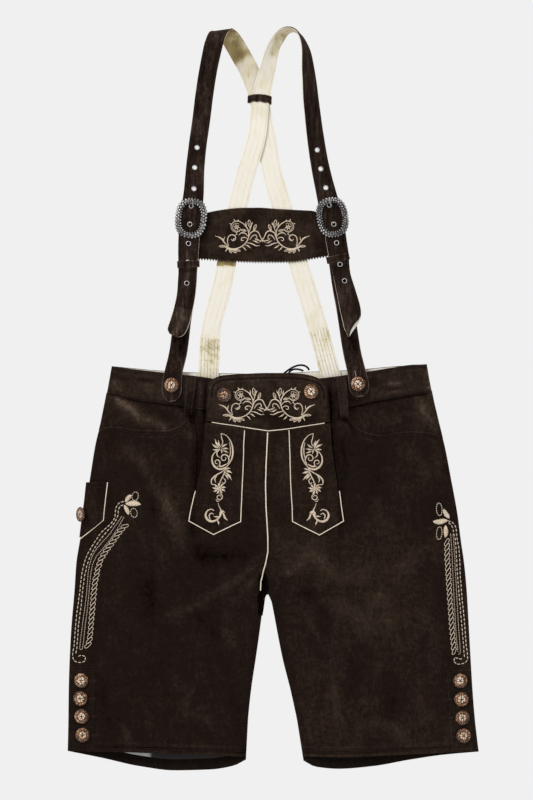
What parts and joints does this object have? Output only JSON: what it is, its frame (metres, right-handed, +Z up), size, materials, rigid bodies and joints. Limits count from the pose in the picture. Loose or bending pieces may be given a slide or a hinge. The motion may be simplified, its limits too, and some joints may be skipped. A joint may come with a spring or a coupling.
{
  "type": "lederhosen",
  "caption": "Knee-length dark suede lederhosen lying flat on their back, with a piped front flap, horn-look buttons and H-shaped braces.",
  "frame": {"origin": "centre of the bounding box's footprint, on the surface that the garment lies on", "axes": "+X to the right and +Y towards the braces' shoulders as one looks down on the front, +Z up, away from the surface"},
  "size_m": [0.597, 1.0792, 0.0497],
  "materials": {
    "suede": "dark brown suede with a short uneven nap",
    "suede_inner": "dark brown suede, seen only in the slits",
    "cream_lining": "cream nappa lining, smooth, slightly matt",
    "pale_lining": "pale woven lining",
    "cream_piping": "cream leather piping",
    "horn": "horn-coloured, half gloss, carved with a light pattern",
    "antique_silver": "aged silver-coloured metal, darkened in the hollows",
    "lace": "round black leather cord"
  },
  "bodies": {
    "root": {"back_facing_left": "cream_lining", "back_facing_right": "cream_lining", "back_leg_left": "suede", "back_leg_right": "suede", "back_lining_left": "pale_lining", "back_lining_right": "pale_lining", "back_waistband_left": "suede", "back_waistband_right": "suede", "belt_loop_left": "suede", "belt_loop_right": "suede", "buckle_left": "antique_silver", "buckle_right": "antique_silver", "button_flap_left": "horn", "button_flap_right": "horn", "button_knife_pocket": "horn", "button_leg_left_1": "horn", "button_leg_left_2": "horn", "button_leg_left_3": "horn", "button_leg_left_4": "horn", "button_leg_right_1": "horn", "button_leg_right_2": "horn", "button_leg_right_3": "horn", "button_leg_right_4": "horn", "button_strap_left": "horn", "button_strap_right": "horn", "crosspiece": "suede", "flap_band": "suede", "front_leg_left": "suede", "front_leg_right": "suede", "front_underlap": "suede_inner", "front_waistband_left": "suede", "front_waistband_right": "suede", "hip_facing_left": "suede", "hip_facing_right": "suede", "keeper_left": "suede", "keeper_rear": "suede", "keeper_right": "suede", "knife_pocket": "suede", "lace_long": "lace", "lace_short": "lace", "lower_strap_left": "suede", "lower_strap_right": "suede", "piping_centre": "cream_piping", "piping_flap": "cream_piping", "piping_knife_pocket": "cream_piping", "piping_shield_left": "cream_piping", "piping_shield_right": "cream_piping", "placket_left": "suede", "placket_right": "suede", "prong_left": "antique_silver", "prong_right": "antique_silver", "shield_left": "suede", "shield_right": "suede", "strap_left": "suede", "strap_left_lining": "cream_lining", "strap_left_rear": "suede", "strap_left_shoulder": "suede", "strap_right": "suede", "strap_right_lining": "cream_lining", "strap_right_rear": "suede"}
  },
  "joints": []
}
